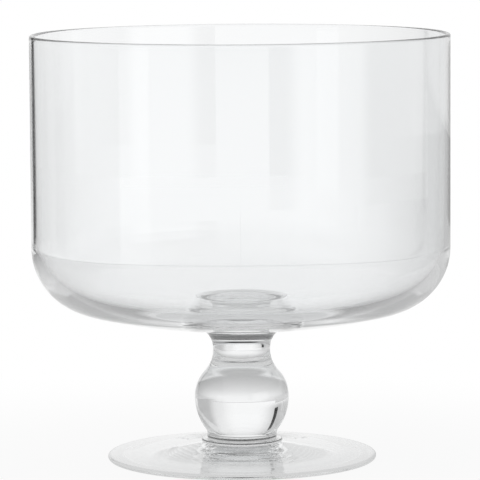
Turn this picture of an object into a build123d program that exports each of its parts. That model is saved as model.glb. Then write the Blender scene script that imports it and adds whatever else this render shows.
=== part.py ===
from build123d import *
import os
from math import sqrt

# Footed trifle bowl of clear glass: a blown bowl, a solid stem with a ball knop, a wafer collar and
# a spun foot. Each is a gather of its own, and hot glass holds them together at flat round joints.
# Millimetres, +Z up. The origin is on the table, under the middle of the foot.

# Foot
foot_diameter = 139.0
foot_height = 8.7         # table to the seat of the collar
foot_edge = 2.8           # thickness of the fire-rounded edge
foot_dip = 0.7            # how far the top falls below a straight cone, halfway out
foot_hollow = 3.6         # rise of the underside at the axis
rest_ring_width = 7.0     # flat ring that stands on the table

# Collar, the wafer between the stem and the foot
collar_thickness = 1.8
collar_lip = 3.0          # how far the collar stands out past the stem

# Stem, from the collar up
stem_base_radius = 18.0
stem_base_height = 3.8    # upright band below the knop
stem_base_fillet = 5.0    # soft turn from the band into the knop
knop_radius = 24.35
knop_lower_height = 18.1  # band to the knop's widest ring
knop_upper_arc = 19.3     # section radius of the knop above that ring
knop_to_neck = 24.7       # widest ring to the narrowest part of the neck
neck_radius = 14.8
neck_to_bowl = 12.0       # narrowest part of the neck to the bowl
flare_bend = 0.72         # share of that height at which the flare turns outwards

# Bowl
bowl_diameter = 216.0
bowl_height = 150.9       # joint with the stem to the rim
joint_radius = 24.4       # flat round joint between the bowl and the stem
crown_radius = 354.0      # dish of the outer bottom
corner_radius = 33.0      # outer turn from the bottom into the wall
rim_wall = 2.5            # wall at the rim, which is fully rounded
lower_wall = 3.3          # wall where the inner corner begins
floor_thickness = 6.7     # glass over the joint, at the axis
floor_radius = 420.0      # dish of the inner floor
inner_corner_radius = 30.0

# Heights of the joints above the table
collar_bottom = foot_height
stem_bottom = collar_bottom + collar_thickness
knop_ring = stem_bottom + stem_base_height + knop_lower_height
neck_ring = knop_ring + knop_to_neck
bowl_bottom = neck_ring + neck_to_bowl
rim_top = bowl_bottom + bowl_height


def corner(profile, radius, height):
    """The vertex of a profile nearest to a radius and a height."""
    return profile.vertices().sort_by_distance((radius, height, 0))[0]


def turned(profile):
    """A solid of revolution from a profile drawn with radius across and height up."""
    return revolve(Plane.XZ * profile, axis=Axis.Z)


def make_foot():
    """Spun disc: a shallow rise to the collar, a rounded edge and a hollow underside on a flat ring."""
    edge_start = foot_diameter / 2 - foot_edge / 2
    seat_radius = stem_base_radius + collar_lip - collar_thickness / 2
    ring_start = edge_start - rest_ring_width
    halfway = (seat_radius + edge_start) / 2
    halfway_height = (foot_height + foot_edge) / 2 - foot_dip
    outline = Curve() + [
        TangentArc((0, foot_hollow), (ring_start, 0), tangent=(1, 0)),
        Line((ring_start, 0), (edge_start, 0)),
        ThreePointArc((edge_start, 0), (foot_diameter / 2, foot_edge / 2), (edge_start, foot_edge)),
        ThreePointArc((edge_start, foot_edge), (halfway, halfway_height), (seat_radius, foot_height)),
        Line((seat_radius, foot_height), (0, foot_height)),
        Line((0, foot_height), (0, foot_hollow)),
    ]
    return turned(make_face(outline))


def make_collar():
    """Flat wafer with a fully rounded edge."""
    half = collar_thickness / 2
    edge_start = stem_base_radius + collar_lip - half
    outline = Curve() + [
        Line((0, collar_bottom), (edge_start, collar_bottom)),
        ThreePointArc((edge_start, collar_bottom), (edge_start + half, collar_bottom + half), (edge_start, stem_bottom)),
        Line((edge_start, stem_bottom), (0, stem_bottom)),
        Line((0, stem_bottom), (0, collar_bottom)),
    ]
    return turned(make_face(outline))


def make_stem():
    """Solid stem: an upright base band, a ball knop drawn up into a waisted neck, and a flare to the bowl."""
    band_top = stem_bottom + stem_base_height

    # Lower half of the knop: an arc that is upright at the widest ring and ends at the band.
    inset = knop_radius - stem_base_radius
    lower_arc = (inset**2 + knop_lower_height**2) / (2 * inset)

    # Upper half of the knop and the neck: two arcs that meet in a tangent, the second upright at the waist.
    knop_centre = knop_radius - knop_upper_arc
    across = neck_radius - knop_centre
    neck_arc = (across**2 + knop_to_neck**2 - knop_upper_arc**2) / (2 * (knop_upper_arc - across))
    share = knop_upper_arc / (knop_upper_arc + neck_arc)
    turn = (knop_centre + (neck_radius + neck_arc - knop_centre) * share, knop_ring + knop_to_neck * share)

    outline = Curve() + [
        Line((0, stem_bottom), (stem_base_radius, stem_bottom)),
        Line((stem_base_radius, stem_bottom), (stem_base_radius, band_top)),
        RadiusArc((stem_base_radius, band_top), (knop_radius, knop_ring), -lower_arc),
        TangentArc((knop_radius, knop_ring), turn, tangent=(0, 1)),
        TangentArc((neck_radius, neck_ring), turn, tangent=(0, -1)),
        Bezier(
            (neck_radius, neck_ring),
            (neck_radius, neck_ring + flare_bend * neck_to_bowl),
            (joint_radius, bowl_bottom),
        ),
        Line((joint_radius, bowl_bottom), (0, bowl_bottom)),
        Line((0, bowl_bottom), (0, stem_bottom)),
    ]
    profile = make_face(outline)
    profile = fillet(corner(profile, stem_base_radius, band_top), stem_base_fillet)
    return turned(profile)


def make_bowl():
    """Blown bowl: straight wall, rounded corner, dished bottom, thick floor and a fire-rounded rim."""
    outer = bowl_diameter / 2
    rim_start = rim_top - rim_wall / 2
    crown_centre = bowl_bottom + sqrt(crown_radius**2 - joint_radius**2)
    crown_corner = crown_centre - sqrt(crown_radius**2 - outer**2)

    # The inner wall leans in from the rim down to where the inner corner begins.
    inner_floor = bowl_bottom + floor_thickness
    inner_rim = outer - rim_wall
    inner_corner_height = inner_floor + inner_corner_radius
    lean = (lower_wall - rim_wall) / (rim_start - inner_corner_height)
    floor_edge = outer - lower_wall - lean * inner_corner_radius
    floor_edge_height = inner_floor + floor_radius - sqrt(floor_radius**2 - floor_edge**2)

    outline = Curve() + [
        Line((0, bowl_bottom), (joint_radius, bowl_bottom)),
        RadiusArc((joint_radius, bowl_bottom), (outer, crown_corner), -crown_radius),
        Line((outer, crown_corner), (outer, rim_start)),
        ThreePointArc((outer, rim_start), (outer - rim_wall / 2, rim_top), (inner_rim, rim_start)),
        Line((inner_rim, rim_start), (floor_edge, floor_edge_height)),
        TangentArc((0, inner_floor), (floor_edge, floor_edge_height), tangent=(1, 0)),
        Line((0, inner_floor), (0, bowl_bottom)),
    ]
    profile = make_face(outline)
    profile = fillet(corner(profile, outer, crown_corner), corner_radius)
    profile = fillet(corner(profile, floor_edge, floor_edge_height), inner_corner_radius)
    return turned(profile)


pieces = {
    "foot": make_foot(),
    "collar": make_collar(),
    "stem": make_stem(),
    "bowl": make_bowl(),
}

os.makedirs("parts", exist_ok=True)
for name, solid in pieces.items():
    export_step(solid, f"parts/{name}.step")
    box = solid.bounding_box()
    print(f"{name}: {solid.volume / 1000:.1f} cm3, {2 * box.max.X:.1f} across, {box.min.Z:.1f} to {box.max.Z:.1f} high")
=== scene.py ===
"""A footed trifle bowl of clear glass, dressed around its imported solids.

The bowl, the stem, the collar and the foot are turned here as fine meshes with the faint waves of hand work,
and each takes the place of its solid. Metres, +Z up, in the frame of the solids.
"""

import logging
import math
from dataclasses import dataclass
from enum import Enum
from functools import cache
from typing import Sequence, Union

import bpy
import numpy as np
from mathutils import Matrix, Vector


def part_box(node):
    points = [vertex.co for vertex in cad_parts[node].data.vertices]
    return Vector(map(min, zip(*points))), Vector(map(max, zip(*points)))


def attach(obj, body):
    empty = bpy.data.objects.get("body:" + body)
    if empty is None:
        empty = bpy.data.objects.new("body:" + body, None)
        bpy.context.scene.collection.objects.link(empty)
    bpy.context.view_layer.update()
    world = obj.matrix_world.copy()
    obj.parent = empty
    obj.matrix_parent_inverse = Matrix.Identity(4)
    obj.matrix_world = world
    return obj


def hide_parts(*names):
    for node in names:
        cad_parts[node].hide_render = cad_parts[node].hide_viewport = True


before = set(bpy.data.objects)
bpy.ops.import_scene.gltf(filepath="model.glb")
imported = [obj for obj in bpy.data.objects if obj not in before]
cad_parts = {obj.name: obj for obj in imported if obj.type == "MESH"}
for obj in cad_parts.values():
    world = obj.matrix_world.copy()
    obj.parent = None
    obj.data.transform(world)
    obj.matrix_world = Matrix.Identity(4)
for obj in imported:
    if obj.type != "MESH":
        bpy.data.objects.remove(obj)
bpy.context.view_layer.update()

MM = 0.001
log = logging.getLogger("trifle_bowl")

Point = tuple[float, float]
Direction = tuple[float, float, float]
Colour = tuple[float, float, float, float]
Tree = bpy.types.NodeTree
Socket = bpy.types.NodeSocket
Feed = Union[bpy.types.NodeSocket, float, Sequence[float]]

BLACK: Colour = (0.0, 0.0, 0.0, 1.0)
WHITE: Colour = (1.0, 1.0, 1.0, 1.0)


class Skin(Enum):
    """What a stretch of a piece's outline is on the finished glass. The value is its material slot."""

    POLISHED = 0
    JOINT = 1


def along(start: Point, end: Point, share: float) -> Point:
    """The point at a share of the way from one point to another, and past it where the share is over 1."""
    return start[0] + (end[0] - start[0]) * share, start[1] + (end[1] - start[1]) * share


class Outline:
    """A half section, radius across and height up, from the axis round the glass and back to the axis.

    The glass lies on the left of the line, so the turned faces point outwards.
    """

    def __init__(self, height: float, step: float) -> None:
        """Start on the axis.

        Args:
            height: Height of the first point.
            step: Longest distance between neighbouring points.
        """
        self.step = step
        self.points: list[Point] = [(0.0, height)]
        self.skins: list[Skin] = []
        self.waves: list[float] = [0.0]

    def _add(self, points: Sequence[Point], skin: Skin, wave: float) -> None:
        """Append a stretch.

        Args:
            points: Its points, without the one that it starts from.
            skin: What the stretch is.
            wave: Share of the hand-work waves on it.
        """
        self.points += points
        self.skins += [skin] * len(points)
        self.waves += [wave] * len(points)

    def line_to(self, end: Point, skin: Skin = Skin.POLISHED, wave: float = 0.0) -> None:
        """Go straight to a point.

        Args:
            end: Radius and height of the end.
            skin: What the stretch is.
            wave: Share of the hand-work waves on it.
        """
        start = self.points[-1]
        count = max(1, math.ceil(math.dist(start, end) / self.step))
        self._add([along(start, end, (i + 1) / count) for i in range(count)], skin, wave)

    def arc_to(self, centre: Point, end: Point, wave: float = 0.0, finest: float = 1.0) -> None:
        """Go round a centre to a point, by the shorter way.

        Args:
            centre: Centre of the arc.
            end: End of the arc, as far from the centre as the last point.
            wave: Share of the hand-work waves on it.
            finest: Share of the usual step, for a tight arc.
        """
        start = self.points[-1]
        radius = math.dist(start, centre)
        first = math.atan2(start[1] - centre[1], start[0] - centre[0])
        last = math.atan2(end[1] - centre[1], end[0] - centre[0])
        turn = (last - first + math.pi) % (2 * math.pi) - math.pi
        count = max(2, math.ceil(abs(turn) * radius / (self.step * finest)))
        angles = [first + turn * (i + 1) / count for i in range(count - 1)]
        arc = [(centre[0] + radius * math.cos(a), centre[1] + radius * math.sin(a)) for a in angles]
        self._add([*arc, end], Skin.POLISHED, wave)

    def curve_to(self, control: Point, end: Point, wave: float = 0.0) -> None:
        """Go to a point along a quadratic curve.

        Args:
            control: The point that both ends of the curve aim at.
            end: End of the curve.
            wave: Share of the hand-work waves on it.
        """
        start = self.points[-1]
        count = max(2, math.ceil((math.dist(start, control) + math.dist(control, end)) / self.step))
        shares = [(i + 1) / count for i in range(count)]
        curve = [along(along(start, control, s), along(control, end, s), s) for s in shares]
        self._add(curve, Skin.POLISHED, wave)


@dataclass(frozen=True)
class Waves:
    """The faint unevenness that hand work leaves in glass: a few long waves round and along the surface.

    Attributes:
        height: How far the surface falls back at most.
        lobes: How often each wave repeats round the axis.
        pitches: Length of each wave along the outline. A minus sign winds it the other way.
        phases: Where each wave starts.
    """

    height: float
    lobes: tuple[int, ...]
    pitches: tuple[float, ...]
    phases: tuple[float, ...]

    def at(self, angle: np.ndarray, length: np.ndarray) -> np.ndarray:
        """The surface's offset.

        Args:
            angle: Angles round the axis.
            length: Distances along the outline, to go with the angles.

        Returns:
            Offsets along the surface normal, never outwards of the true surface.
        """
        total = np.zeros(np.broadcast(angle, length).shape)
        for lobes, pitch, phase in zip(self.lobes, self.pitches, self.phases):
            total += np.cos(lobes * angle + 2 * math.pi * length / pitch + phase)
        return self.height * (total / len(self.lobes) - 1) / 2


def place_object(name: str, data: bpy.types.ID) -> bpy.types.Object:
    """Put a mesh, a lamp or a camera into the scene.

    Args:
        name: Name of the object.
        data: What the object shows.

    Returns:
        The new object, linked to the scene.
    """
    made = bpy.data.objects.new(name, data)
    bpy.context.scene.collection.objects.link(made)
    return made


@dataclass(frozen=True)
class Lathe:
    """Turns outlines into closed meshes.

    Attributes:
        segments: Number of steps round the axis.
        ease: Number of outline points over which the waves come and go.
        sharp_angle: Bend from which an edge shows as an edge.
    """

    segments: int
    ease: int = 10
    sharp_angle: float = math.radians(40)

    @staticmethod
    def _normals(points: np.ndarray) -> np.ndarray:
        """Normals of an outline.

        Args:
            points: Radius and height of each point.

        Returns:
            Outward normals, in the plane of the outline.
        """
        ahead = np.gradient(points, axis=0)
        ahead /= np.linalg.norm(ahead, axis=1)[:, None]
        return np.stack([ahead[:, 1], -ahead[:, 0]], axis=1)

    def _fade(self, waves: Sequence[float]) -> np.ndarray:
        """Ease the waves where they start and end, so that no step shows.

        Args:
            waves: Share of the waves at each point.

        Returns:
            The eased shares.
        """
        kernel = np.hanning(2 * self.ease + 1)
        padded = np.pad(np.asarray(waves), self.ease)
        eased = np.convolve(padded, kernel / kernel.sum(), "valid")
        return np.minimum(eased, np.asarray(waves))

    def turn(self, name: str, outline: Outline, waves: Waves) -> bpy.types.Object:
        """Turn an outline about the axis.

        Args:
            name: Name of the piece.
            outline: Half section from axis to axis.
            waves: Unevenness of the surface.

        Returns:
            The new object, linked to the scene.
        """
        points = np.array(outline.points)
        ring_points = points[1:-1]
        steps = np.linalg.norm(np.diff(points, axis=0), axis=1)
        length = np.concatenate([[0.0], np.cumsum(steps)])[1:-1]
        angles = np.arange(self.segments) * 2 * math.pi / self.segments
        shares = self._fade(outline.waves)[1:-1]
        offset = waves.at(angles[None, :], length[:, None]) * shares[:, None]
        normals = self._normals(points)[1:-1]
        radius = ring_points[:, :1] + normals[:, :1] * offset
        height = ring_points[:, 1:] + normals[:, 1:] * offset
        rings = np.stack([radius * np.cos(angles), radius * np.sin(angles), height], axis=-1)
        ends = [(0.0, 0.0, points[0, 1]), (0.0, 0.0, points[-1, 1])]
        vertices = [*rings.reshape(-1, 3).tolist(), *ends]
        faces, slots = self._faces(len(ring_points), outline.skins)

        mesh = bpy.data.meshes.new(name)
        mesh.from_pydata(vertices, [], faces)
        mesh.polygons.foreach_set("material_index", slots)
        mesh.polygons.foreach_set("use_smooth", [True] * len(faces))
        mesh.set_sharp_from_angle(angle=self.sharp_angle)
        mesh.update()
        return place_object(name, mesh)

    def _faces(self, rings: int, skins: Sequence[Skin]) -> tuple[list[tuple[int, ...]], list[int]]:
        """Faces of a turned outline.

        Args:
            rings: Number of rings of vertices, without the two ends on the axis.
            skins: The skin of each stretch of the outline.

        Returns:
            The faces' vertices and their material slots.
        """
        count = self.segments
        first, last = rings * count, rings * count + 1
        faces: list[tuple[int, ...]] = []
        slots: list[int] = []
        for j in range(count):
            after = (j + 1) % count
            faces.append((first, after, j))
            slots.append(skins[0].value)
            for i in range(rings - 1):
                low, high = i * count, (i + 1) * count
                faces.append((low + j, low + after, high + after, high + j))
                slots.append(skins[i + 1].value)
            top = (rings - 1) * count
            faces.append((top + j, top + after, last))
            slots.append(skins[-1].value)
        return faces, slots


def add_node(tree: Tree, kind: str, **values: object) -> bpy.types.Node:
    """Add a node.

    Args:
        tree: Where it goes.
        kind: Its type name.
        **values: Its properties.

    Returns:
        The new node.
    """
    made = tree.nodes.new(kind)
    for name, value in values.items():
        setattr(made, name, value)
    return made


def wire(tree: Tree, source: Feed, target: Socket) -> None:
    """Join two sockets, or set a constant.

    Args:
        tree: Where the link goes.
        source: The socket or the constant.
        target: The socket that takes it.
    """
    if isinstance(source, Socket):
        tree.links.new(source, target)
    else:
        target.default_value = source


def add_group(tree: Tree, group: Tree, **inputs: Feed) -> bpy.types.Node:
    """Place a node group.

    Args:
        tree: Where it goes.
        group: The group.
        **inputs: What its inputs take, by name.

    Returns:
        The new group node.
    """
    made = add_node(tree, "ShaderNodeGroup", node_tree=group)
    for name, value in inputs.items():
        wire(tree, value, made.inputs[name])
    return made


def maths(tree: Tree, operation: str, *inputs: Feed, clamp: bool = False) -> Socket:
    """Add a Math node.

    Args:
        tree: Where it goes.
        operation: Its operation.
        *inputs: Sockets or numbers, in order.
        clamp: Whether the result stays between 0 and 1.

    Returns:
        The result's socket.
    """
    made = add_node(tree, "ShaderNodeMath", operation=operation, use_clamp=clamp)
    for value, target in zip(inputs, made.inputs):
        wire(tree, value, target)
    return made.outputs["Value"]


def eased_range(tree: Tree, value: Socket, start: Feed, end: Feed, low: Feed, high: Feed) -> Socket:
    """Map a value smoothly from one range to another.

    Args:
        tree: Where the node goes.
        value: The socket to read.
        start: Where the change begins.
        end: Where it ends.
        low: Result at the start.
        high: Result at the end.

    Returns:
        The result's socket.
    """
    made = add_node(tree, "ShaderNodeMapRange", interpolation_type="SMOOTHSTEP")
    for source, target in zip((value, start, end, low, high), made.inputs):
        wire(tree, source, target)
    return made.outputs["Result"]


def noise(tree: Tree, place: Socket, scale: Feed) -> Socket:
    """Add a Noise Texture.

    Args:
        tree: Where it goes.
        place: The place that it reads.
        scale: How fine it is.

    Returns:
        Its value's socket.
    """
    made = add_node(tree, "ShaderNodeTexNoise")
    wire(tree, place, made.inputs["Vector"])
    wire(tree, scale, made.inputs["Scale"])
    return made.outputs["Fac"]


def place_in(tree: Tree, space: str = "Object") -> Socket:
    """Read the place on a surface, or the direction in the world."""
    return add_node(tree, "ShaderNodeTexCoord").outputs[space]


def split(tree: Tree, place: Socket) -> tuple[Socket, Socket, Socket]:
    """Split a place or a direction.

    Args:
        tree: Where the node goes.
        place: The place to split.

    Returns:
        The sockets of its X, Y and Z.
    """
    made = add_node(tree, "ShaderNodeSeparateXYZ")
    wire(tree, place, made.inputs["Vector"])
    return made.outputs["X"], made.outputs["Y"], made.outputs["Z"]


def mix_colours(tree: Tree, share: Socket, first: Feed, second: Feed) -> Socket:
    """Mix two colours.

    Args:
        tree: Where the node goes.
        share: Share of the second colour.
        first: First colour.
        second: Second colour.

    Returns:
        The result's socket.
    """
    made = add_node(tree, "ShaderNodeMix", data_type="RGBA")
    sockets = {socket.identifier: socket for socket in (*made.inputs, *made.outputs)}
    for name, value in (("Factor_Float", share), ("A_Color", first), ("B_Color", second)):
        wire(tree, value, sockets[name])
    return sockets["Result_Color"]


def mix_shaders(tree: Tree, share: Socket, first: Socket, second: Socket) -> Socket:
    """Mix two shaders.

    Args:
        tree: Where the node goes.
        share: Share of the second shader.
        first: First shader.
        second: Second shader.

    Returns:
        The result's socket.
    """
    made = add_node(tree, "ShaderNodeMixShader")
    for value, target in zip((share, first, second), made.inputs):
        wire(tree, value, target)
    return made.outputs["Shader"]


def blank_material(name: str) -> bpy.types.Material:
    """Start a material.

    Args:
        name: Name of the material.

    Returns:
        A material without nodes.
    """
    made = bpy.data.materials.new(name)
    made.use_nodes = True
    made.node_tree.nodes.clear()
    return made


def show_surface(tree: Tree, surface: Socket, output: str = "ShaderNodeOutputMaterial") -> None:
    """Send a shader to the output of its material or world."""
    wire(tree, surface, add_node(tree, output).inputs["Surface"])


class GlassGroups:
    """Node groups that the glasses of the object share. Each is built once."""

    COLOUR = "NodeSocketColor"
    NUMBER = "NodeSocketFloat"
    STREAK_STRETCH: Direction = (1.0, 1.0, 0.25)
    MARKS_START = 0.62
    MARKS_FULL = 0.8

    @staticmethod
    def _start(
        name: str, inputs: dict[str, str], outputs: dict[str, str]
    ) -> tuple[Tree, bpy.types.NodeOutputs, bpy.types.NodeInputs]:
        """Start a group.

        Args:
            name: Name of the group.
            inputs: Kind of each input, by name.
            outputs: Kind of each output, by name.

        Returns:
            The group, the sockets that bring its inputs and the sockets that take its results.
        """
        tree = bpy.data.node_groups.new(name, "ShaderNodeTree")
        for label, kind in inputs.items():
            tree.interface.new_socket(label, in_out="INPUT", socket_type=kind)
        for label, kind in outputs.items():
            tree.interface.new_socket(label, in_out="OUTPUT", socket_type=kind)
        return tree, add_node(tree, "NodeGroupInput").outputs, add_node(tree, "NodeGroupOutput").inputs

    @classmethod
    @cache
    def melt_streaks(cls) -> Tree:
        """Cords in the melt: long faint streaks between a pale and a deeper tint.

        Returns:
            The group.
        """
        tree, given, out = cls._start(
            "melt_streaks",
            {"Pale": cls.COLOUR, "Deep": cls.COLOUR, "Scale": cls.NUMBER},
            {"Colour": cls.COLOUR},
        )
        stretch = add_node(tree, "ShaderNodeMapping")
        wire(tree, cls.STREAK_STRETCH, stretch.inputs["Scale"])
        wire(tree, place_in(tree), stretch.inputs["Vector"])
        streaks = noise(tree, stretch.outputs["Vector"], given["Scale"])
        wire(tree, mix_colours(tree, streaks, given["Pale"], given["Deep"]), out["Colour"])
        return tree

    @classmethod
    @cache
    def polish_marks(cls) -> Tree:
        """Polished glass with sparse faint marks of handling.

        Returns:
            The group.
        """
        tree, given, out = cls._start(
            "polish_marks",
            {"Polish": cls.NUMBER, "Marks": cls.NUMBER, "Scale": cls.NUMBER},
            {"Roughness": cls.NUMBER},
        )
        patches = noise(tree, place_in(tree), given["Scale"])
        sparse = eased_range(tree, patches, cls.MARKS_START, cls.MARKS_FULL, 0.0, 1.0)
        added = maths(tree, "MULTIPLY", sparse, given["Marks"])
        wire(tree, maths(tree, "ADD", given["Polish"], added), out["Roughness"])
        return tree

    @classmethod
    @cache
    def painted_seam_shade(cls) -> Tree:
        """Painted shade: a dark band painted into the glass colour round a given height, in place of the
        shade at a joint.

        Returns:
            The group.
        """
        tree, given, out = cls._start(
            "painted_seam_shade",
            {"Colour": cls.COLOUR, "Height": cls.NUMBER, "Reach": cls.NUMBER, "Depth": cls.NUMBER},
            {"Colour": cls.COLOUR},
        )
        _, _, height = split(tree, place_in(tree))
        away = maths(tree, "ABSOLUTE", maths(tree, "SUBTRACT", height, given["Height"]))
        depth = eased_range(tree, away, 0.0, given["Reach"], given["Depth"], 0.0)
        wire(tree, mix_colours(tree, depth, given["Colour"], BLACK), out["Colour"])
        return tree


@dataclass(frozen=True)
class GlassFinish:
    """Clear soda glass as one way of working leaves it.

    Attributes:
        name: Name of the material.
        streak_scale: How fine the streaks of the melt are.
        marks: Roughness of the marks of handling.
        mark_scale: How fine those marks are.
        polish: Roughness between them.
        pale: Tint between the streaks.
        deep: Tint of the streaks.
        shade: Tint of the light that a lamp sends through.
        ior: How far the glass bends light.
        worn_below: Height up to which a table scuffs the glass.
        wear: Roughness of the scuffs.
        grit_scale: How fine the scuffs are.
        shade_line_height: Height of the painted shade line at a joint.
        shade_line_reach: Half the width of that painted line.
        shade_line_depth: How dark the painted shade is, or 0 for no line.
    """

    name: str
    streak_scale: float
    marks: float
    mark_scale: float
    polish: float = 0.0
    pale: Colour = (0.985, 0.990, 0.992, 1.0)
    deep: Colour = (0.968, 0.977, 0.982, 1.0)
    shade: Colour = (0.965, 0.972, 0.970, 1.0)
    ior: float = 1.52
    worn_below: float = 0.0
    wear: float = 0.0
    grit_scale: float = 900.0
    shade_line_height: float = 0.0
    shade_line_reach: float = 0.0
    shade_line_depth: float = 0.0

    def material(self) -> bpy.types.Material:
        """Build the material.

        Returns:
            Glass that refracts for the eye and lets lamps through, tinted, to what stands behind it.
        """
        made = blank_material(self.name)
        tree = made.node_tree
        streaks = add_group(
            tree, GlassGroups.melt_streaks(), Pale=self.pale, Deep=self.deep, Scale=self.streak_scale
        )
        marks = add_group(
            tree, GlassGroups.polish_marks(), Polish=self.polish, Marks=self.marks, Scale=self.mark_scale
        )
        glass = add_node(tree, "ShaderNodeBsdfPrincipled")
        glass.inputs["IOR"].default_value = self.ior
        glass.inputs["Transmission Weight"].default_value = 1.0
        # The base colour carries a painted shade line at the joint, where the glass has one.
        wire(tree, self._paint_seam_shade(tree, streaks.outputs["Colour"]), glass.inputs["Base Color"])
        wire(tree, self._worn(tree, marks.outputs["Roughness"]), glass.inputs["Roughness"])
        through = add_node(tree, "ShaderNodeBsdfTransparent")
        through.inputs["Color"].default_value = self.shade
        shadow = add_node(tree, "ShaderNodeLightPath").outputs["Is Shadow Ray"]
        show_surface(tree, mix_shaders(tree, shadow, glass.outputs["BSDF"], through.outputs["BSDF"]))
        return made

    def _paint_seam_shade(self, tree: Tree, colour: Socket) -> Socket:
        """Paint the dark shade line of a joint into the glass colour.

        Args:
            tree: The material's nodes.
            colour: Colour of the plain glass.

        Returns:
            Colour with the painted shade line, or the same socket where the glass has none.
        """
        # Painted shade: a dark line is mixed into the glass colour round the given height.
        if self.shade_line_depth == 0.0:
            return colour
        painted_line = add_group(
            tree, GlassGroups.painted_seam_shade(),
            Colour=colour, Height=self.shade_line_height, Reach=self.shade_line_reach, Depth=self.shade_line_depth,
        )
        return painted_line.outputs["Colour"]

    def _worn(self, tree: Tree, roughness: Socket) -> Socket:
        """Add the scuffs of a table to the lowest part of the glass.

        Args:
            tree: The material's nodes.
            roughness: Roughness without wear.

        Returns:
            Roughness with wear, or the same socket where the glass never meets a table.
        """
        if self.wear == 0.0:
            return roughness
        place = place_in(tree)
        _, _, height = split(tree, place)
        low = eased_range(tree, height, 0.0, self.worn_below, 1.0, 0.0)
        scuffs = maths(tree, "MULTIPLY", low, noise(tree, place, self.grit_scale))
        return maths(tree, "ADD", roughness, maths(tree, "MULTIPLY", scuffs, self.wear))


@dataclass(frozen=True)
class FusedFinish:
    """The melted face between two pieces: one glass on both sides, so nothing bends or shines there."""

    name: str = "fused_joint"

    def material(self) -> bpy.types.Material:
        """Build the material.

        Returns:
            A material that light goes straight through.
        """
        made = blank_material(self.name)
        through = add_node(made.node_tree, "ShaderNodeBsdfTransparent")
        show_surface(made.node_tree, through.outputs["BSDF"])
        return made


BLOWN = GlassFinish("blown_glass", streak_scale=9.0, marks=0.02, mark_scale=55.0)
# Painted shade: a dark line low on the stem, near its joint with the collar.
SOLID = GlassFinish(
    "solid_glass", streak_scale=30.0, marks=0.015, mark_scale=80.0,
    shade_line_height=11.9 * MM, shade_line_reach=1.1 * MM, shade_line_depth=0.995,
)
# Painted shade: a dark line round the collar's edge.
WAFER = GlassFinish(
    "wafer_glass", streak_scale=30.0, marks=0.015, mark_scale=80.0,
    shade_line_height=10.2 * MM, shade_line_reach=0.5 * MM, shade_line_depth=0.97,
)
SPUN = GlassFinish(
    "spun_glass", streak_scale=24.0, marks=0.02, mark_scale=70.0, worn_below=0.6 * MM, wear=0.1
)

BLOWN_WAVES = Waves(0.14 * MM, (3, 5, 9, 2), (0.45, -0.37, 1.3, 0.24), (0.4, 2.1, 4.4, 1.3))
SOLID_WAVES = Waves(0.05 * MM, (2, 3, 5), (0.11, -0.07, 0.05), (0.9, 3.0, 5.1))
SPUN_WAVES = Waves(0.05 * MM, (0, 0, 1), (0.0085, 0.0127, 0.019), (0.3, 1.9, 4.0))


def cad_radius(name: str) -> float:
    """Outer radius of a solid, from its box."""
    low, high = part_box(name)
    return (high.x - low.x) / 2


def cad_heights(name: str) -> tuple[float, float]:
    """Lowest and highest point of a solid."""
    low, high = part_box(name)
    return low.z, high.z


@dataclass
class Piece:
    """A turned piece of glass that takes the place of one solid.

    Attributes:
        node: Name of the solid.
        finish: Its glass.
        waves: Its unevenness.
        segments: Number of steps round the axis.
        step: Longest step along the outline.
        full_wave: Share of the waves on the faces that show them most.
    """

    node: str
    finish: GlassFinish
    waves: Waves
    segments: int
    step: float
    full_wave: float = 1.0

    def outline(self) -> Outline:
        """The half section of the piece."""
        raise NotImplementedError

    def build(self) -> bpy.types.Object:
        """Turn the piece."""
        return Lathe(self.segments).turn(f"{self.node}_glass", self.outline(), self.waves)

    def dress(self, piece: bpy.types.Object, joint: bpy.types.Material) -> None:
        """Give the piece its glass and seat it in the frame.

        Args:
            piece: The turned piece.
            joint: The material that all joint faces share.
        """
        piece.data.materials.append(self.finish.material())
        piece.data.materials.append(joint)
        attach(piece, "root")
        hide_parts(self.node)


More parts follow.
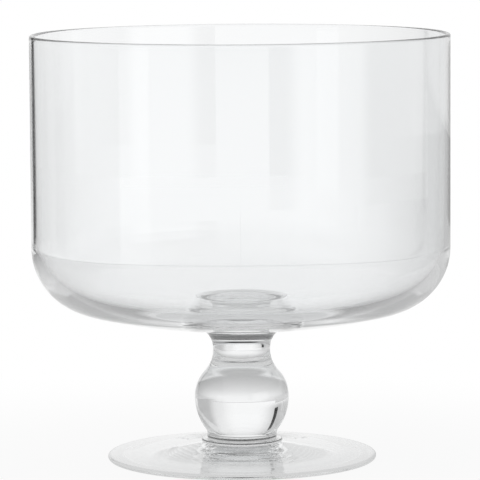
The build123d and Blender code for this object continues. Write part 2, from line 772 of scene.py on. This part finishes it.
@dataclass
class Bowl(Piece):
    """Blown bowl: straight wall, rounded corner, dished bottom, thick floor and a fire-rounded rim."""

    node: str = "bowl"
    finish: GlassFinish = BLOWN
    waves: Waves = BLOWN_WAVES
    segments: int = 312
    step: float = 1.6 * MM
    outer_wave: float = 0.3
    rim_fineness: float = 0.15
    joint_radius: float = 24.4 * MM
    crown_radius: float = 354.0 * MM
    corner_radius: float = 33.0 * MM
    rim_wall: float = 2.5 * MM
    lower_wall: float = 3.3 * MM
    floor_thickness: float = 6.7 * MM
    floor_radius: float = 420.0 * MM
    inner_corner_radius: float = 30.0 * MM
    corner_rounds: int = 20

    def outline(self) -> Outline:
        """The half section: out along the bottom, up the wall, over the rim and down inside.

        Returns:
            The outline.
        """
        outer = cad_radius(self.node)
        bottom, top = cad_heights(self.node)
        rim = (outer - self.rim_wall / 2, top - self.rim_wall / 2)
        crown = (0.0, bottom + math.sqrt(self.crown_radius**2 - self.joint_radius**2))
        corner = self._corner(outer, crown[1])
        crown_end = along(crown, corner, self.crown_radius / (self.crown_radius - self.corner_radius))

        shape = Outline(bottom, self.step)
        shape.line_to((self.joint_radius, bottom), Skin.JOINT)
        shape.arc_to(crown, crown_end, wave=self.outer_wave)
        shape.arc_to(corner, (outer, corner[1]), wave=self.outer_wave)
        shape.line_to((outer, rim[1]), wave=self.outer_wave)
        shape.arc_to(rim, (rim[0], top), finest=self.rim_fineness)
        shape.arc_to(rim, (outer - self.rim_wall, rim[1]), finest=self.rim_fineness)
        self._inside(shape, outer, bottom + self.floor_thickness, rim[1])
        return shape

    def _corner(self, outer: float, crown_height: float) -> Point:
        """Centre of the outer corner, which touches the wall and the dished bottom."""
        across = outer - self.corner_radius
        return across, crown_height - math.sqrt((self.crown_radius - self.corner_radius) ** 2 - across**2)

    def _inside(self, shape: Outline, outer: float, floor: float, rim_start: float) -> None:
        """Draw the inner wall, corner and floor.

        The corner's centre is found in a few rounds, each nearer to touching the wall and the floor.

        Args:
            shape: The outline so far, up to the inner edge of the rim.
            outer: Outer radius of the bowl.
            floor: Height of the floor at the axis.
            rim_start: Height where the rim's rounding begins.
        """
        turn = self.inner_corner_radius
        lean = (self.lower_wall - self.rim_wall) / (rim_start - floor - turn)
        dish = (0.0, floor + self.floor_radius)
        height = floor + turn
        for _ in range(self.corner_rounds):
            across = outer - self.rim_wall - lean * (rim_start - height) - turn * math.hypot(1, lean)
            height = dish[1] - math.sqrt((self.floor_radius - turn) ** 2 - across**2)
        corner = (across, height)
        lean_angle = math.atan(lean)
        wall_end = (across + turn * math.cos(lean_angle), height - turn * math.sin(lean_angle))
        floor_start = along(dish, corner, self.floor_radius / (self.floor_radius - turn))
        shape.line_to(wall_end, wave=self.full_wave)
        shape.arc_to(corner, floor_start, wave=self.full_wave)
        shape.arc_to(dish, (0.0, floor), wave=self.full_wave)


@dataclass
class Stem(Piece):
    """Solid stem: upright base band, ball knop, waisted neck and a flare under the bowl."""

    node: str = "stem"
    finish: GlassFinish = SOLID
    waves: Waves = SOLID_WAVES
    segments: int = 256
    step: float = 0.7 * MM
    base_radius: float = 18.0 * MM
    base_height: float = 3.8 * MM
    base_fillet: float = 5.0 * MM
    knop_lower_height: float = 18.1 * MM
    knop_upper_arc: float = 19.3 * MM
    knop_to_neck: float = 24.7 * MM
    neck_radius: float = 14.8 * MM
    joint_radius: float = 24.4 * MM
    flare_bend: float = 0.72

    def outline(self) -> Outline:
        """The half section, from the collar up to the bowl.

        Returns:
            The outline.
        """
        knop = cad_radius(self.node)
        bottom, top = cad_heights(self.node)
        ring = bottom + self.base_height + self.knop_lower_height
        neck_height = ring + self.knop_to_neck

        inset = knop - self.base_radius
        lower_arc = (inset**2 + self.knop_lower_height**2) / (2 * inset)
        lower = (knop - lower_arc, ring)
        fillet = self._fillet(lower, lower_arc)
        lower_start = along(lower, fillet, lower_arc / (lower_arc + self.base_fillet))

        upper = (knop - self.knop_upper_arc, ring)
        across = self.neck_radius - upper[0]
        reach = across**2 + self.knop_to_neck**2 - self.knop_upper_arc**2
        neck_arc = reach / (2 * (self.knop_upper_arc - across))
        neck = (self.neck_radius + neck_arc, neck_height)
        turn = along(upper, neck, self.knop_upper_arc / (self.knop_upper_arc + neck_arc))
        flare = (self.neck_radius, neck_height + self.flare_bend * (top - neck_height))

        shape = Outline(bottom, self.step)
        shape.line_to((self.base_radius, bottom), Skin.JOINT)
        shape.line_to((self.base_radius, fillet[1]))
        shape.arc_to(fillet, lower_start)
        shape.arc_to(lower, (knop, ring), wave=self.full_wave)
        shape.arc_to(upper, turn, wave=self.full_wave)
        shape.arc_to(neck, (self.neck_radius, neck_height), wave=self.full_wave)
        shape.curve_to(flare, (self.joint_radius, top))
        shape.line_to((0.0, top), Skin.JOINT)
        return shape

    def _fillet(self, lower: Point, lower_arc: float) -> Point:
        """Centre of the soft turn between the base band and the knop, outside both."""
        across = self.base_radius + self.base_fillet
        return across, lower[1] - math.sqrt((lower_arc + self.base_fillet) ** 2 - (across - lower[0]) ** 2)


@dataclass
class Collar(Piece):
    """Thin wafer between the stem and the foot, with a fully rounded edge."""

    node: str = "collar"
    finish: GlassFinish = WAFER
    waves: Waves = SOLID_WAVES
    segments: int = 256
    step: float = 0.2 * MM
    stem_radius: float = 18.0 * MM

    def outline(self) -> Outline:
        """The half section: joint below, rounded edge, a narrow lip and the joint above.

        Returns:
            The outline.
        """
        outer = cad_radius(self.node)
        bottom, top = cad_heights(self.node)
        half = (top - bottom) / 2
        centre = (outer - half, bottom + half)
        shape = Outline(bottom, self.step)
        shape.line_to((outer - half, bottom), Skin.JOINT)
        shape.arc_to(centre, (outer, bottom + half))
        shape.arc_to(centre, (outer - half, top))
        shape.line_to((self.stem_radius, top))
        shape.line_to((0.0, top), Skin.JOINT)
        return shape


@dataclass
class Foot(Piece):
    """Spun disc: shallow rise to the collar, rounded edge and a hollow underside on a flat ring."""

    node: str = "foot"
    finish: GlassFinish = SPUN
    waves: Waves = SPUN_WAVES
    segments: int = 384
    step: float = 0.8 * MM
    hollow_wave: float = 0.6
    edge_fineness: float = 0.4
    edge: float = 2.8 * MM
    dip: float = 0.7 * MM
    hollow: float = 3.6 * MM
    ring_width: float = 7.0 * MM
    seat_radius: float = 20.1 * MM

    def outline(self) -> Outline:
        """The half section: out under the hollow and the ring, round the edge and up to the seat.

        Returns:
            The outline.
        """
        outer = cad_radius(self.node)
        bottom, top = cad_heights(self.node)
        edge_start = outer - self.edge / 2
        ring_start = edge_start - self.ring_width
        dome_radius = (ring_start**2 + self.hollow**2) / (2 * self.hollow)
        middle = (edge_start, bottom + self.edge / 2)

        shape = Outline(bottom + self.hollow, self.step)
        shape.arc_to((0.0, bottom + self.hollow - dome_radius), (ring_start, bottom), wave=self.hollow_wave)
        shape.line_to((edge_start, bottom))
        shape.arc_to(middle, (outer, middle[1]), finest=self.edge_fineness)
        shape.arc_to(middle, (edge_start, bottom + self.edge), finest=self.edge_fineness)
        shape.arc_to(
            self._slope_centre(edge_start, bottom, top), (self.seat_radius, top), wave=self.full_wave
        )
        shape.line_to((0.0, top), Skin.JOINT)
        return shape

    def _slope_centre(self, edge_start: float, bottom: float, top: float) -> Point:
        """Centre of the arc of the sloping top, above it, from its ends and its dip below a straight cone.

        Args:
            edge_start: Radius where the rounded edge meets the top.
            bottom: Height of the table.
            top: Height of the seat.

        Returns:
            Radius and height of the centre.
        """
        low = Vector((edge_start, bottom + self.edge))
        high = Vector((self.seat_radius, top))
        halfway = (low + high) / 2 - Vector((0.0, self.dip))
        a, b = low - halfway, high - halfway
        cross = 2 * (a.x * b.y - a.y * b.x)
        x = (b.y * a.length_squared - a.y * b.length_squared) / cross
        y = (a.x * b.length_squared - b.x * a.length_squared) / cross
        return halfway.x + x, halfway.y + y


@dataclass(frozen=True)
class Panel:
    """An upright card or light box of the studio, which the glass shows and the camera doesn't.

    Attributes:
        name: Name of the panel.
        start: Where its line across the floor begins.
        end: Where that line ends.
        low: Height of its lower edge.
        high: Height of its upper edge.
        level: How bright it is, 1 for white.
        soft: Distance over which it fades out at both ends.
        soft_top: The same at its upper edge.
        soft_foot: The same at its lower edge.
        soft_end: The same at the end alone.
    """

    name: str
    start: Point
    end: Point
    low: float
    high: float
    level: float
    soft: float = 0.0
    soft_top: float = 0.0
    soft_foot: float = 0.0
    soft_end: float = 0.0

    def build(self) -> None:
        """Stand the panel on its line across the floor."""
        half = math.dist(self.start, self.end) / 2
        mesh = bpy.data.meshes.new(self.name)
        corners = [(-half, self.low), (half, self.low), (half, self.high), (-half, self.high)]
        mesh.from_pydata([(x, 0.0, z) for x, z in corners], [], [(0, 1, 2, 3)])
        mesh.materials.append(self._material(half))
        panel = place_object(self.name, mesh)
        middle = ((self.start[0] + self.end[0]) / 2, (self.start[1] + self.end[1]) / 2, 0.0)
        turn = math.atan2(self.end[1] - self.start[1], self.end[0] - self.start[0])
        panel.matrix_world = Matrix.Translation(middle) @ Matrix.Rotation(turn, 4, "Z")
        panel.visible_camera = False
        panel.visible_shadow = False

    def _material(self, half: float) -> bpy.types.Material:
        """Even light that fades out towards the edges where the panel is soft.

        Args:
            half: Half the panel's width.

        Returns:
            The panel's material.
        """
        made = blank_material(self.name)
        tree = made.node_tree
        glow = add_node(tree, "ShaderNodeEmission")
        glow.inputs["Strength"].default_value = self.level
        surface = glow.outputs["Emission"]
        across, _, height = split(tree, place_in(tree))
        fades = (
            (self.soft, half, maths(tree, "ABSOLUTE", across)),
            (self.soft_top, self.high, height),
            (self.soft_foot, height, self.low),
            (self.soft_end, half, across),
        )
        for reach, edge, inner in fades:
            if reach == 0.0:
                continue
            distance = maths(tree, "SUBTRACT", edge, inner)
            share = eased_range(tree, distance, 0.0, reach, 0.0, 1.0)
            clear = add_node(tree, "ShaderNodeBsdfTransparent")
            surface = mix_shaders(tree, share, clear.outputs["BSDF"], surface)
        show_surface(tree, surface)
        return made


PANELS = (
    Panel("white_board", (-0.2548, 0.40), (0.2003, 0.40), 0.003, 0.45, 1.0, soft_top=0.35),
    Panel("board_foot_shadow", (-0.2548, 0.399), (0.2003, 0.399), 0.0, 0.003, 0.68),
    Panel(
        "middle_card", (0.0, 0.109), (0.0, 0.15), 0.060, 0.130, 0.50,
        soft_top=0.03, soft_foot=0.02, soft_end=0.03,
    ),
    Panel("black_strip", (-0.3165, 0.397), (-0.2530, 0.397), 0.052, 0.30, 0.01, soft_foot=0.01),
    Panel(
        "left_shade", (-0.60, 0.398), (-0.08, 0.398), 0.003, 0.45, 0.55,
        soft=0.26, soft_top=0.35, soft_foot=0.05,
    ),
    Panel("right_shade", (0.03, 0.398), (0.43, 0.398), 0.003, 0.45, 0.85, soft=0.12, soft_top=0.35),
    Panel("grey_wall", (0.0900, 0.262), (0.9, 0.45), 0.0, 0.143, 0.55, soft=0.10),
    Panel("pale_wall", (0.0900, 0.262), (0.9, 0.45), 0.143, 0.24, 0.75, soft=0.10),
    Panel("left_card", (-0.60, -0.30), (-0.42, 0.36), 0.0, 0.40, 0.62, soft_top=0.30, soft_foot=0.06),
    Panel("left_light", (-0.737, -0.676), (-1.05, -0.09), 0.0, 0.18, 1.1),
    Panel("right_light", (0.45, -1.11), (1.16, -0.31), 0.0, 0.40, 1.0, soft=0.25),
    Panel("dark_front", (-0.8, -0.75), (0.30, -1.15), 0.0, 1.4, 0.30),
    Panel("front_foot", (-0.8, -0.74), (0.30, -1.14), 0.0, 0.34, 0.80, soft_top=0.26),
)


@dataclass
class Studio:
    """Pale floor, white surround, soft light and the panels that the glass shows.

    A veil is how far the floor turns from shaded paper to plain white. For the camera it grows away from the
    object. For the glass it lies behind the object and fades to the sides, with a glow under the foot and
    another farther out, which is stronger in front. The world's level for the glass falls away from the lit
    side, higher up and overhead.
    """

    floor_radius: float = 1.5
    floor_steps: int = 128
    floor_colour: Colour = (0.88, 0.88, 0.88, 1.0)
    veil_near: float = 0.92
    veil_start: float = 0.10
    veil_end: float = 0.32
    glass_veil_start: float = 0.03
    glass_veil_end: float = 0.21
    glass_veil_far: float = 0.85
    glass_veil_inner: float = 0.04
    glass_veil_outer: float = 0.22
    glass_veil_aside: float = 0.15
    foot_glow: float = 0.60
    foot_glow_start: float = 0.066
    foot_glow_end: float = 0.082
    round_glow: float = 0.3
    round_glow_start: float = 0.16
    round_glow_end: float = 0.30
    front_glow: float = 0.7
    lamp_height: float = 2.2
    lamp_size: float = 2.4
    lamp_power: float = 14.0
    lit_side: Direction = (-0.3, 0.954, 0.0)
    lit_start: float = -0.95
    lit_end: float = 0.3
    unlit_level: float = 0.06
    upper_start: float = 0.06
    upper_end: float = 0.36
    upper_level: float = 0.55
    overhead_start: float = 0.80
    overhead_end: float = 0.94
    overhead_level: float = 0.02

    def build(self) -> None:
        """Lay the floor, light it, close the scene in and stand the panels round it."""
        self._floor()
        self._lamp()
        self._world()
        for panel in PANELS:
            panel.build()

    def _floor(self) -> None:
        """A round floor of pale paper."""
        mesh = bpy.data.meshes.new("floor")
        angles = [2 * math.pi * i / self.floor_steps for i in range(self.floor_steps)]
        rim = [(self.floor_radius * math.cos(a), self.floor_radius * math.sin(a), 0.0) for a in angles]
        mesh.from_pydata(rim, [], [tuple(range(self.floor_steps))])
        mesh.materials.append(self._paper())
        floor = place_object("floor", mesh)

    def _paper(self) -> bpy.types.Material:
        """Paper that takes shadows and fades to plain white away from the object.

        Returns:
            The floor's material.
        """
        made = blank_material("floor_paper")
        tree = made.node_tree
        place = place_in(tree)
        across, back, _ = split(tree, place)
        away = add_node(tree, "ShaderNodeVectorMath", operation="LENGTH")
        wire(tree, place, away.inputs[0])
        far = away.outputs["Value"]
        veil = eased_range(tree, far, self.veil_start, self.veil_end, self.veil_near, 1.0)
        glass_veil = self._glass_veil(tree, far, across, back)
        path = add_node(tree, "ShaderNodeLightPath").outputs
        glass = maths(tree, "ADD", path["Is Glossy Ray"], path["Is Transmission Ray"], clamp=True)
        direct = maths(tree, "MULTIPLY", veil, path["Is Camera Ray"])
        share = maths(tree, "MULTIPLY_ADD", glass, glass_veil, direct, clamp=True)
        paper = add_node(tree, "ShaderNodeBsdfDiffuse")
        paper.inputs["Color"].default_value = self.floor_colour
        white = add_node(tree, "ShaderNodeEmission")
        show_surface(tree, mix_shaders(tree, share, paper.outputs["BSDF"], white.outputs["Emission"]))
        return made

    def _glass_veil(self, tree: Tree, far: Socket, across: Socket, back: Socket) -> Socket:
        """How white the floor is to the glass.

        Args:
            tree: The floor's nodes.
            far: Distance from the axis of the object.
            across: Distance to the right of it.
            back: Distance behind it.

        Returns:
            The share of plain white.
        """
        aside = maths(tree, "ABSOLUTE", across)
        behind = eased_range(tree, back, self.glass_veil_start, self.glass_veil_end, 0.0, self.glass_veil_far)
        middle = eased_range(
            tree, aside, self.glass_veil_inner, self.glass_veil_outer, 1.0, self.glass_veil_aside
        )
        outer_veil = maths(tree, "MULTIPLY", behind, middle)
        foot_glow = eased_range(tree, far, self.foot_glow_start, self.foot_glow_end, self.foot_glow, 0.0)
        distant = eased_range(tree, far, self.round_glow_start, self.round_glow_end, 0.0, 1.0)
        front = eased_range(tree, back, -self.round_glow_end, 0.0, self.front_glow, self.round_glow)
        round_glow = maths(tree, "MULTIPLY", distant, front)
        return maths(tree, "MAXIMUM", maths(tree, "MAXIMUM", outer_veil, foot_glow), round_glow)

    def _lamp(self) -> None:
        """A wide soft lamp overhead, which lights the floor and isn't mirrored in the glass."""
        data = bpy.data.lights.new("overhead", "AREA")
        data.shape = "DISK"
        data.size = self.lamp_size
        data.energy = self.lamp_power
        lamp = place_object("overhead", data)
        lamp.location = (0.0, 0.0, self.lamp_height)
        lamp.visible_glossy = False
        lamp.visible_transmission = False

    def _world(self) -> None:
        """White for the camera. For the glass, white low down on the lit side and dimmer elsewhere."""
        world = bpy.data.worlds.new("studio")
        bpy.context.scene.world = world
        world.use_nodes = True
        tree = world.node_tree
        tree.nodes.clear()
        direction = place_in(tree, "Generated")
        _, _, up = split(tree, direction)
        lit = add_node(tree, "ShaderNodeVectorMath", operation="DOT_PRODUCT")
        wire(tree, direction, lit.inputs[0])
        wire(tree, self.lit_side, lit.inputs[1])
        side = eased_range(tree, lit.outputs["Value"], self.lit_start, self.lit_end, self.unlit_level, 1.0)
        upper = eased_range(tree, up, self.upper_start, self.upper_end, 1.0, self.upper_level)
        overhead = eased_range(tree, up, self.overhead_start, self.overhead_end, 1.0, self.overhead_level)
        level = maths(tree, "MULTIPLY", side, maths(tree, "MULTIPLY", upper, overhead))
        room = add_node(tree, "ShaderNodeBackground")
        wire(tree, level, room.inputs["Color"])
        white = add_node(tree, "ShaderNodeBackground")
        white.inputs["Color"].default_value = WHITE
        seen = add_node(tree, "ShaderNodeLightPath").outputs["Is Camera Ray"]
        surround = mix_shaders(tree, seen, room.outputs["Background"], white.outputs["Background"])
        show_surface(tree, surround, "ShaderNodeOutputWorld")


@dataclass
class PhotoCamera:
    """The camera of the photograph: a long lens a little above the rim. Angles are in degrees."""

    distance: float = 1.795
    height: float = 0.3089
    aside: float = -0.46 * MM
    pitch: float = 6.212
    roll: float = 0.35
    focal_pixels: float = 3499.0
    image_pixels: float = 480.0
    sensor: float = 36.0

    def build(self) -> None:
        """Set up the camera."""
        data = bpy.data.cameras.new("photo_camera")
        data.sensor_width = self.sensor
        data.lens = self.focal_pixels / self.image_pixels * self.sensor
        camera = place_object("photo_camera", data)
        level = Matrix.Rotation(math.radians(90.0 - self.pitch), 4, "X")
        turned = Matrix.Rotation(math.radians(-self.roll), 4, "Z")
        place = Matrix.Translation((self.aside, -self.distance, self.height))
        camera.matrix_world = place @ level @ turned
        bpy.context.scene.camera = camera


@dataclass(frozen=True)
class Picture:
    """Plain colour handling, and enough bounces for light to cross the thick glass."""

    glass_bounces: int = 128
    clear_bounces: int = 32

    def set_up(self) -> None:
        """Set the scene's colour handling and bounces."""
        scene = bpy.context.scene
        scene.view_settings.view_transform = "Standard"
        scene.cycles.max_bounces = self.glass_bounces
        scene.cycles.transmission_bounces = self.glass_bounces
        scene.cycles.glossy_bounces = self.glass_bounces
        scene.cycles.transparent_max_bounces = self.clear_bounces
        scene.cycles.caustics_refractive = False
        scene.cycles.caustics_reflective = False


def main() -> None:
    """Build the pieces in order, then the studio and the camera."""
    logging.basicConfig(level=logging.INFO, format="%(message)s")
    joint = FusedFinish().material()
    assembly: list[Piece] = [Foot(), Collar(), Stem(), Bowl()]
    for part in assembly:
        piece = part.build()
        part.dress(piece, joint)
        log.info("%s: %d faces, for the solid %s", piece.name, len(piece.data.polygons), part.node)
    Studio().build()
    PhotoCamera().build()
    Picture().set_up()


if __name__ == "__main__":
    main()
